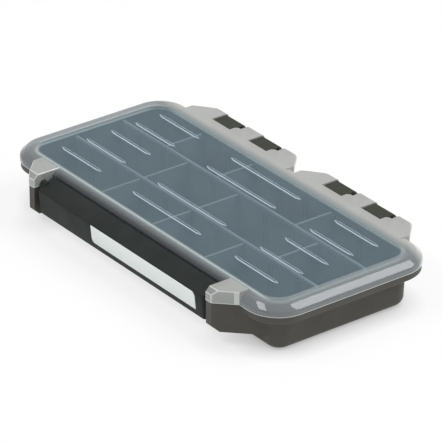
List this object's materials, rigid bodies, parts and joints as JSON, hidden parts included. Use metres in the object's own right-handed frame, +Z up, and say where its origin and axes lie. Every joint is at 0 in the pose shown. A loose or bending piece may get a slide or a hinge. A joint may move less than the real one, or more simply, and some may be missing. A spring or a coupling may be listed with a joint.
{
  "type": "tackle utility box",
  "caption": "Shallow compartment case with a translucent hinged lid, a full-width bar latch, long lane walls and lift-out cross dividers.",
  "frame": {"origin": "on the resting face, under the centre of the box", "axes": "+X along the length to the right, +Y from the latch to the hinge, +Z up"},
  "size_m": [0.2318, 0.1266, 0.0314],
  "materials": {
    "tray": "fine moulded texture, dark warm grey",
    "lid": "translucent, softly frosted",
    "seal": "pale, soft satin",
    "latch": "satin near-black",
    "label": "pale writable matt",
    "divider": "satin slate grey",
    "pin": "satin dark grey"
  },
  "bodies": {
    "base": {"base_tray": "tray", "lid_seal": "seal", "lane_wall_front": "divider", "lane_wall_back": "divider", "divider_front_1": "divider", "divider_front_2": "divider", "divider_front_3": "divider", "divider_middle_1": "divider", "divider_middle_2": "divider", "divider_middle_3": "divider", "divider_back_1": "divider", "divider_back_2": "divider", "divider_back_3": "divider", "hinge_pin_1": "pin", "hinge_pin_2": "pin", "hinge_pin_3": "pin", "hinge_pin_4": "pin"},
    "lid": {"lid": "lid"},
    "latch": {"latch": "latch", "latch_label": "label"}
  },
  "joints": [
    {"name": "lid_hinge", "type": "hinge", "parent": "base", "child": "lid", "pos_m": [0, 0.0614, 0.0287], "axis": [-1, 0, 0], "range_deg": [0, 180]},
    {"name": "latch_hinge", "type": "hinge", "parent": "lid", "child": "latch", "pos_m": [0, -0.0574, 0.0254], "axis": [-1, 0, 0], "range_deg": [0, 100]}
  ]
}
